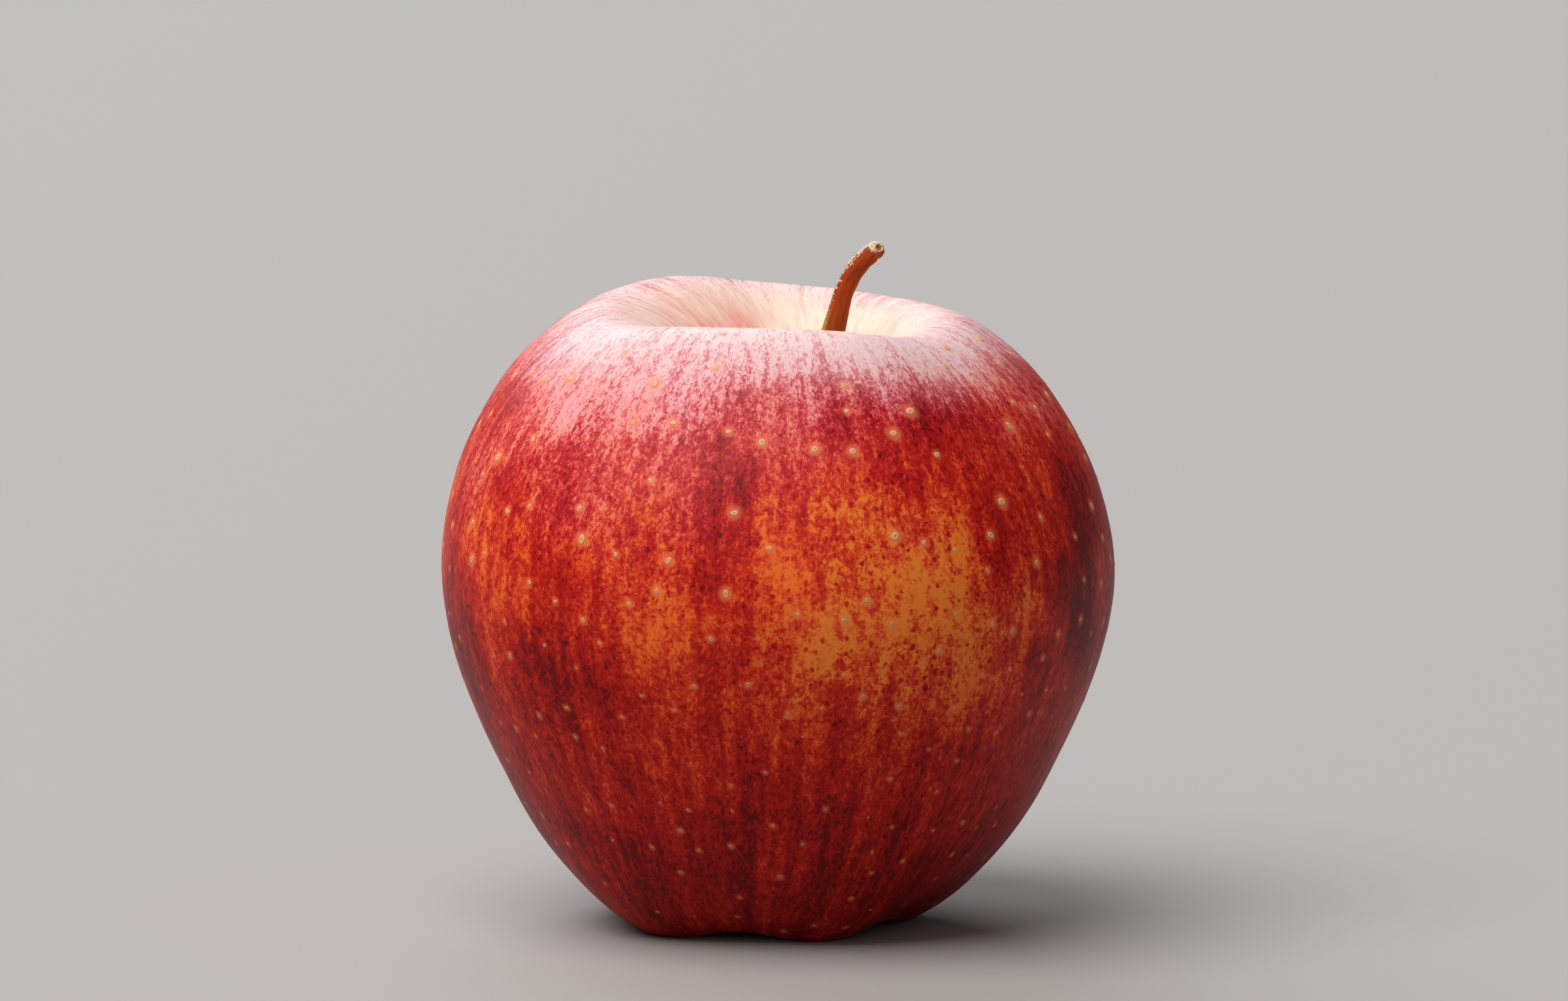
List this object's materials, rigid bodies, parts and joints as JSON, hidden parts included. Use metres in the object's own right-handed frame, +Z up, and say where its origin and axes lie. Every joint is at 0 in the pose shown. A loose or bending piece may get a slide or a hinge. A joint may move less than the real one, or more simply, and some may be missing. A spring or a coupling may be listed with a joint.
{
  "type": "apple",
  "caption": "Ripe red-striped dessert apple with a deep stem cavity, a leaning woody stem and a dried calyx, standing on its lobed base.",
  "frame": {"origin": "on the surface that the apple stands on, under the middle of the fruit's box", "axes": "+Z up along the fruit's core towards the stem; -Y the front, with the broad swelling of the crown; +X the side that the stem leans to"},
  "size_m": [0.0726, 0.0714, 0.074],
  "materials": {
    "fruit_skin": "gloss",
    "stem_bark": "matte",
    "dried_sepal": "matte",
    "dried_stamens": "matte"
  },
  "bodies": {
    "root": {"fruit": "fruit_skin", "stem": "stem_bark", "sepal_1": "dried_sepal", "sepal_2": "dried_sepal", "sepal_3": "dried_sepal", "sepal_4": "dried_sepal", "sepal_5": "dried_sepal", "stamen_tuft": "dried_stamens"}
  },
  "joints": []
}
